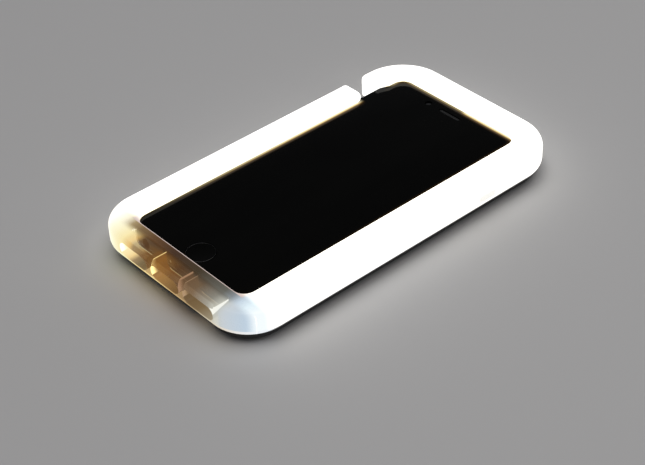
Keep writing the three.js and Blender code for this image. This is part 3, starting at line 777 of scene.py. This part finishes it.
def port_cutter(x, width):
    """A passage through the bottom end. Its roof follows the outer skin up from the mouth to the lip."""
    low, high = PORT_Z - PORT_HEIGHT / 2, PORT_Z + PORT_HEIGHT / 2
    corner = PORT_HEIGHT / 2 - APART
    mouth = CASE_BOTTOM
    roof_y, roof_z = mouth + EDGE_INSET, FRAME_HIGH.z - SKIN
    reach, rise = roof_y - mouth - 0.6, roof_z - high

    # A place along Y, how much the outline grows there, and its roof's height and corners' radius.
    stations = [
        (mouth - 2, 0.6, high, corner),
        (mouth, 0.6, high, corner),
        (mouth + 0.15, 0.25, high, corner),
        (mouth + 0.6, 0, high, corner),
    ]
    steps = 6
    for i, turn in list(enumerate(quarter(steps)))[1:]:
        radius = corner + (PORT_ROOF_CORNER - corner) * i / steps
        stations.append((roof_y - reach * math.cos(turn), 0, high + rise * math.sin(turn), radius))
    stations.append((mouth + PORT_REACH, 0, roof_z, PORT_ROOF_CORNER))

    left, right = x - width / 2, x + width / 2
    levels = []
    for y, grow, top, radius in stations:
        outline = arc(right - radius, top - radius, radius + grow, 0, 90, 7)
        outline += arc(left + radius, top - radius, radius + grow, 90, 180, 7)
        outline += arc(left + corner, low + corner, corner + grow, 180, 270, 7)
        outline += arc(right - corner, low + corner, corner + grow, 270, 360, 7)
        levels.append([(px, y, pz) for px, pz in outline])
    return loft(levels)


# A side key's cap and stem, as lengths along Y and heights, with the room round each in the wall.
CAP, CAP_ROOM = (9.2, 3.4), (9.8, 4.0)
STEM, STEM_ROOM = (5, 2.2), (5.6, 2.8)
PHONE_KEY_ROOM = (12, 4.0)
CAP_DEPTH, RECESS_DEPTH = 2.1, 2.9

STRIP_PLAY, STRIP_ROOF = 0.6, 9.2  # the free space round an LED strip, and its channel's top


def key_place(node):
    """A side key's middle, which way it points, and how far out its inner end and its face are."""
    low, high = box_mm(node)
    middle = (low + high) / 2
    return middle, 1 if middle.x > 0 else -1, *sorted((abs(low.x), abs(high.x)))


def key_cutters(name):
    """The recess for a side key's cap, the slot for its stem, and room for the phone's own key."""
    middle, side, _, face = key_place(name + "_plunger")
    phone_side = HOUSING_HIGH.x
    cuts = []
    for size, near, far in [
        (CAP_ROOM, face - RECESS_DEPTH, CASE_SIDE + 2),
        (STEM_ROOM, phone_side, CASE_SIDE),
        (PHONE_KEY_ROOM, phone_side - 1, phone_side + 1),
    ]:
        cuts.append(along_x(stadium(*size), [(side * near, 0), (side * far, 0)], middle.y, middle.z))
    return cuts


def strip_channel(name):
    """Room for an LED strip in the frame's underside."""
    low, high = box_mm(name)
    middle = (low + high) / 2
    width, length = high.x - low.x + 2 * STRIP_PLAY, high.y - low.y + 2 * STRIP_PLAY
    return prism(rounded(width, length, STRIP_PLAY, middle.x, middle.y, steps=4), 0, STRIP_ROOF)


def make_frame():
    body = frame_body()
    pocket = rounded(POCKET_WIDTH, POCKET_LENGTH, POCKET_CORNER, steps=14)
    cutters = [prism(pocket, -1, LIP_UNDER)]
    cutters += [port_cutter(x, width) for x, width in PORTS]
    cutters += [strip_channel("led_strip_" + where) for where in ("left", "right", "top")]
    for name in KEY_NAMES:
        cutters += key_cutters(name)
    combine(body, cutters)
    piece("milky_frame", body, ROOT, MILKY, ["diffuser_frame"])


# ---------------------------------------------------------------- the back of the case

COVER_INSET, COVER_BEND = 2.1, 3.4
COVER_FLOOR = 1.0
CAMERA_WIDTH, CAMERA_LENGTH = 24, 13
GROOVE_WIDTH, GROOVE_LENGTH, GROOVE_CORNER, GROOVE_DEPTH = 66, 136, 11, 0.25


def camera_hole(grow):
    """The camera window's outline, grown by a distance."""
    middle = middle_of("camera_bezel")
    width, length = CAMERA_WIDTH + 2 * grow, CAMERA_LENGTH + 2 * grow
    return rounded(width, length, length / 2 - APART, middle.x, middle.y, steps=12)


def groove_cutter():
    """A shallow groove round the underside, half a millimetre wide."""
    outer = rounded(GROOVE_WIDTH, GROOVE_LENGTH, GROOVE_CORNER, steps=12)
    inner = rounded(GROOVE_WIDTH - 1, GROOVE_LENGTH - 1, GROOVE_CORNER - 0.5, steps=12)
    levels = [at(outer, -1), at(outer, GROOVE_DEPTH), at(inner, GROOVE_DEPTH), at(inner, -1)]
    return loft(levels, closed=True)


def make_cover():
    """A tray with a rounded underside, hollow above, with its groove, button, light and openings."""
    bottom = bend_in(COVER_BEND, COVER_BEND, COVER_LOW.z, 8)
    rim = bend_over(0.25, 0.25, COVER_HIGH.z, 3)
    levels = [at(case_outline(COVER_INSET + by), z) for by, z in bottom + rim]
    for by, z in [(-0.2, COVER_HIGH.z), (0, COVER_HIGH.z - 0.2), (0, COVER_FLOOR)]:
        outline = rounded(BAY_WIDTH - 2 * by, BAY_LENGTH - 2 * by, BAY_CORNER - by, steps=14)
        levels.append(at(outline, z))
    shell = loft(levels)

    button, pipe, usb = (middle_of(n) for n in ("light_button", "charge_light_pipe", "micro_usb_socket"))
    dish = [(0, -1), (8.2, -1), (8.2, -0.01), (7.4, 0.10), (6.4, 0.2), (5.0, 0.28), (0, 0.30)]
    hole = [(0, -1), (4.9, -1), (4.9, 0.2), (4.6, 0.45), (4.6, 2), (0, 2)]
    pipe_hole = [(0, -1), (1.6, -1), (1.5, 0.05), (1.2, 0.3), (1.2, 2), (0, 2)]

    def inlet(grow):
        return rounded(8.3 + 2 * grow, 2.6 + 2 * grow, 0.6 + grow, steps=4)

    combine(shell, [
        groove_cutter(),
        lathe(dish, button.x, button.y),
        lathe(hole, button.x, button.y),
        lathe(pipe_hole, pipe.x, pipe.y, 24),
        prism(camera_hole(1.5), -1, 6),
        along_y(inlet, [(-80, 0.6), (-73.9, 0.6), (-73.3, 0), (-68, 0)], usb.x, usb.z + 0.05),
    ])
    piece("rear_shell", shell, ROOT, COVER, ["back_cover"])


def make_bezel():
    """The camera window's tube, chamfered inside and out, with the flange that holds it in the floor."""
    profile = [
        (1.2, 0.55), (0.95, 0.25), (0.7, 0.2), (0.5, 0.25), (0.05, 0.95), (0, 1.2), (0, 4.45), (0.05, 4.5),
        (1.15, 4.5), (1.2, 4.45), (1.2, 1.7), (2.4, 1.7), (2.4, 1.1), (1.2, 1.1),
    ]
    tube = loft([at(camera_hole(grow), z) for grow, z in profile], closed=True)
    piece("camera_window_tube", tube, ROOT, COVER, ["camera_bezel"])


def make_light_button():
    """A dished cap with a raised rim, and the flange that keeps it in."""
    middle = middle_of("light_button")
    profile = [
        (0, 0.52), (1.5, 0.5), (2.6, 0.42), (3.2, 0.34), (3.6, 0.30), (4.0, 0.32), (4.2, 0.42), (4.3, 0.6),
        (4.3, 1.05), (5.1, 1.05), (5.1, 1.25), (0, 1.25),
    ]
    cap = lathe(profile, middle.x, middle.y)
    piece("light_cap", cap, "light_button", COVER, ["light_button"])


def make_light_pipe():
    """The charge light's clear window, domed a little."""
    middle = middle_of("charge_light_pipe")
    profile = [(0, 0.1), (0.5, 0.13), (0.85, 0.25), (1.0, 0.45), (1.0, 1.7), (0, 1.7)]
    pipe = lathe(profile, middle.x, middle.y, 24)
    piece("charge_window", pipe, ROOT, LED_CLEAR, ["charge_light_pipe"])


def make_usb_shell():
    """A drawn steel shell with the two lower corners cut, flared at its mouth, and its tongue."""
    low, high = box_mm("micro_usb_socket")
    middle = (low + high) / 2
    half_width, half_height = (high.x - low.x) / 2, (high.z - low.z) / 2
    cut = 1.1

    def outline(grow):
        w, h = half_width + grow, half_height + grow
        return [(w, h), (-w, h), (-w, -h + cut), (-w + cut, -h), (w - cut, -h), (w, -h + cut)]

    mouth, tail = low.y, high.y
    stations = [(tail, 0), (mouth, 0), (mouth, -0.12), (mouth + 0.2, -0.3), (tail - 0.6, -0.3)]
    shell = loft([[(middle.x + x, y, middle.z + z) for x, z in outline(grow)] for y, grow in stations])
    tongue = along_y(
        lambda grow: rounded(4 + 2 * grow, 0.5 + 2 * grow, 0.12, steps=2),
        [(mouth + 0.9, -0.08), (mouth + 1.1, 0), (tail - 0.3, 0)], middle.x, middle.z,
    )
    combine(shell, [tongue], "UNION")
    piece("usb_shell", shell, ROOT, STEEL, ["micro_usb_socket"])


def make_plunger(name):
    """A side key: a pillow-faced cap outside, and the stem that reaches the phone's own key."""
    middle, side, tip, face = key_place(name + "_plunger")
    root = face - CAP_DEPTH
    stations = [(side * root, 0)] + crowned(side, face, 0.6, 5)
    cap = along_x(stadium(*CAP), stations, middle.y, middle.z)
    stem = along_x(stadium(*STEM), [(side * tip, 0), (side * (root + 0.4), 0)], middle.y, middle.z)
    combine(cap, [stem], "UNION")
    piece(name + "_pad", cap, name + "_plunger", PAD, [name + "_plunger"])


# ---------------------------------------------------------------- the phone

PHONE_CORNER = 9.6
SIDE_INSET, SIDE_HEIGHT = 2.2, 2.6  # rounding of the housing's sides, from the back up
WALL = 2.2  # thickness of the housing's sides
END_CUT, SIDE_CUT = 5, 4  # how deep its openings are cut

# Round holes in the bottom end, as places along X and radii: microphone, two screws, loudspeaker.
END_HOLES = [(-13, 0.5), (-7, 0.95), (7, 0.95)] + [(12.5 + 2.4 * i, 0.75) for i in range(6)]


def make_housing():
    """The phone's metal body with rounded sides, its openings and slots cut through."""
    low, high = HOUSING_LOW, HOUSING_HIGH
    width, length = high.x - low.x, high.y - low.y
    side = bend_in(SIDE_INSET, SIDE_HEIGHT, low.z, 8)
    side += [(0, 9.6), (0.1, 10.2), (0.3, 10.75), (0.55, high.z)]
    levels = [
        at(rounded(width - 2 * by, length - 2 * by, PHONE_CORNER - by, steps=14), z) for by, z in side
    ]
    hollow = rounded(width - 2 * WALL, length - 2 * WALL, PHONE_CORNER - WALL, steps=14)
    levels += [at(hollow, high.z), at(hollow, low.z + 1)]
    shell = loft(levels)

    far, end, middle = width / 2, low.y, low.z + 3.5
    charging = [(end - 1, 0.5), (end + 0.1, 0.15), (end + 0.4, 0), (end + END_CUT, 0)]
    headphone = [(end - 1, 0.4), (end + 0.1, 0.1), (end + END_CUT, 0)]
    cutters = [
        along_y(stadium(9, 3), charging, 0, middle),
        along_y(stadium(3.8, 3.8), headphone, -21, middle),
    ]
    for x, radius in END_HOLES:
        hole = [(end - 1, 0), (end + END_CUT, 0)]
        cutters.append(along_y(stadium(2 * radius, 2 * radius, 4), hole, x, middle))

    def slot(way, length, height, y, z):
        stations = [(way * (far - SIDE_CUT), 0), (way * (far + 1), 0)]
        return along_x(stadium(length, height), stations, y, z)

    for name in KEY_NAMES:
        key = middle_of(name + "_key")
        cutters.append(slot(1 if key.x > 0 else -1, 10.4, 2.4, key.y, middle))
    camera, flash = middle_of("camera_ring"), middle_of("flash_lens")
    cutters += [
        slot(-1, 5.4, 3.4, middle_of("ring_switch").y, middle),
        slot(1, 14.6, 1.9, middle_of("sim_tray").y, low.z + 2.95),
        lathe([(0, 4), (3.95, 4), (3.95, 7.2), (0, 7.2)], camera.x, camera.y),
        lathe([(0, 4), (1.8, 4), (1.8, 7.2), (0, 7.2)], flash.x, flash.y, 32),
    ]
    combine(shell, cutters)
    piece("phone_body", shell, ROOT, HOUSING, ["phone_housing"])


def make_glass():
    """The front glass, its edge curving down all round."""
    low, high = GLASS_LOW, GLASS_HIGH
    width, length = high.x - low.x, high.y - low.y
    side = [(0.1, low.z), (0, low.z + 0.15)] + bend_over(0.75, 0.6, high.z, 6)
    levels = [at(rounded(width - 2 * by, length - 2 * by, 9.3 - by, steps=16), z) for by, z in side]
    glass = loft(levels)
    mesh, camera = middle_of("earpiece_mesh"), middle_of("front_camera")
    r = HOME_RADIUS + 0.55
    hole = [(0, 10), (r, 10), (r, high.z - 0.12), (r + 0.12, high.z), (r + 0.2, 14), (0, 14)]
    combine(glass, [
        lathe(hole, HOME.x, HOME.y, 96),
        prism(rounded(10.6, 1.7, 0.84, mesh.x, mesh.y, steps=8), 10, 14),
        prism(rounded(2.8, 2.8, 1.39, camera.x, camera.y, steps=8), 10, 14),
    ])
    piece("cover_glass", glass, ROOT, GLASS, ["front_glass"])


def make_home_button():
    """A plain dished cap, and the rounded ring round it."""
    top = GLASS_HIGH.z
    r = HOME_RADIUS
    rim = top - 0.09
    dish = [(0, top - 1.1), (r, top - 1.1), (r, top - 0.16), (r - 0.08, rim)]
    dish += [(r * (1 - i / 10), rim - 0.26 * math.sin(t)) for i, t in enumerate(quarter(10)) if i]
    cap = lathe(dish, HOME.x, HOME.y, 96)
    piece("thumb_dish", cap, "home_button", GLASS, ["home_button_cap"])
    ring = [
        (r + 0.06, top - 1.1), (r + 0.35, top - 1.1), (r + 0.35, top - 0.14), (r + 0.31, top - 0.04),
        (r + 0.22, top), (r + 0.12, top - 0.03), (r + 0.06, top - 0.12),
    ]
    made = lathe(ring, HOME.x, HOME.y, 96, closed=True)
    piece("thumb_ring", made, ROOT, DARK_RING, ["home_button_ring"])


def make_phone_key(name):
    """One of the phone's own side keys, with a softly rounded face."""
    low, high = box_mm(name + "_key")
    middle, side, back, face = key_place(name + "_key")
    stations = [(side * back, 0)] + crowned(side, face, 0.25, 4)
    made = along_x(stadium(high.y - low.y, high.z - low.z), stations, middle.y, middle.z)
    piece(name + "_bar", made, name + "_key", HOUSING, [name + "_key"])


def make_ring_switch():
    """The phone's ring switch, its outer face's edges rounded."""
    low, high = box_mm("ring_switch")
    middle = (low + high) / 2
    stations = [(high.x, 0), (low.x + 0.2, 0), (low.x + 0.06, -0.06), (low.x, -0.2)]
    made = along_x(stadium(high.y - low.y, high.z - low.z), stations, middle.y, middle.z)
    piece("mute_slider", made, "ring_switch", HOUSING, ["ring_switch"])


def make_rear_camera_trim():
    """The rear camera's raised ring, and the glass in it."""
    middle, z = middle_of("camera_ring"), box_mm("camera_ring")[0].z
    ring = [
        (3.4, z + 1.2), (3.4, z + 0.12), (3.5, z), (4.0, z), (4.25, z + 0.12), (4.4, z + 0.3),
        (4.4, z + 0.55), (3.8, z + 0.55), (3.8, z + 1.2),
    ]
    trim = lathe(ring, middle.x, middle.y, closed=True)
    piece("lens_trim", trim, ROOT, HOUSING, ["camera_ring"])
    face, back = (corner.z for corner in box_mm("camera_glass"))
    disc = [
        (0, face), (2.6, face + 0.02), (3.1, face + 0.08), (3.3, face + 0.2), (3.3, back), (0, back),
    ]
    piece("lens_cover", lathe(disc, middle.x, middle.y), ROOT, LENS, ["camera_glass"])


# ---------------------------------------------------------------- everything in place

make_frame()
make_cover()
make_bezel()
make_light_button()
make_light_pipe()
make_usb_shell()
make_housing()
make_glass()
make_home_button()
make_ring_switch()
make_rear_camera_trim()
for key_name in KEY_NAMES:
    make_plunger(key_name)
    make_phone_key(key_name)

# What isn't in this table, such as screws, cans and sockets, is steel.
NODE_MATERIALS = {
    "phone_tray": TRAY,
    "cushion_pad": FELT,
    "case_battery": POUCH,
    "control_board": BOARD,
    "charger_chip": CHIP,
    "boost_inductor": CHIP,
    "display_panel": DISPLAY,
    "home_switch": FLEX,
    "sim_tray": HOUSING,
    "phone_battery": PHONE_POUCH,
    "logic_board": BOARD,
    "rear_camera": CHIP,
    "flash_lens": LED_CLEAR,
    "front_camera": CHIP,
    "earpiece_speaker": CHIP,
    "earpiece_mesh": MESH,
    "loudspeaker": CHIP,
    "headphone_jack": CHIP,
}
for where in ("left", "right", "top"):
    NODE_MATERIALS["led_strip_" + where] = STRIP
    NODE_MATERIALS["strip_lead_" + where] = FLEX
for node in frame["nodes"].values():
    node.data.materials.clear()
    node.data.materials.append(NODE_MATERIALS.get(node.name, STEEL))

# ---------------------------------------------------------------- studio


FLOOR_Z = -0.0002  # a little under the object, so that the faces don't meet


def make_floor():
    bpy.ops.mesh.primitive_plane_add(size=6, location=(0, 0, FLOOR_Z))
    floor = bpy.context.object
    floor.name = "floor"
    n = Nodes("floor")
    n.set(Base_Color=rgba(0.62, 0.61, 0.60), Roughness=0.75, Specular_IOR_Level=0.2)
    floor.data.materials.append(n.material)


def make_lights():
    """A faint even sky, and two soft lamps that face the object."""
    scene.view_settings.view_transform = "Standard"
    world = bpy.data.worlds.new("studio")
    world.use_nodes = True
    background = world.node_tree.nodes["Background"].inputs
    background["Color"].default_value = (0.92, 0.93, 1.0, 1)
    background["Strength"].default_value = 0.16
    scene.world = world
    for name, place, size, power in [
        ("overhead", (0.1, 0.1, 1.3), 1.2, 7.0),
        ("side", (1.1, 0.7, 0.7), 0.6, 1.5),
    ]:
        data = bpy.data.lights.new(name, "AREA")
        data.size = size
        data.energy = power
        lamp = bpy.data.objects.new(name, data)
        lamp.location = place
        lamp.rotation_mode = "QUATERNION"
        lamp.rotation_quaternion = Vector(place).to_track_quat("Z", "Y")
        scene.collection.objects.link(lamp)


make_floor()
make_lights()
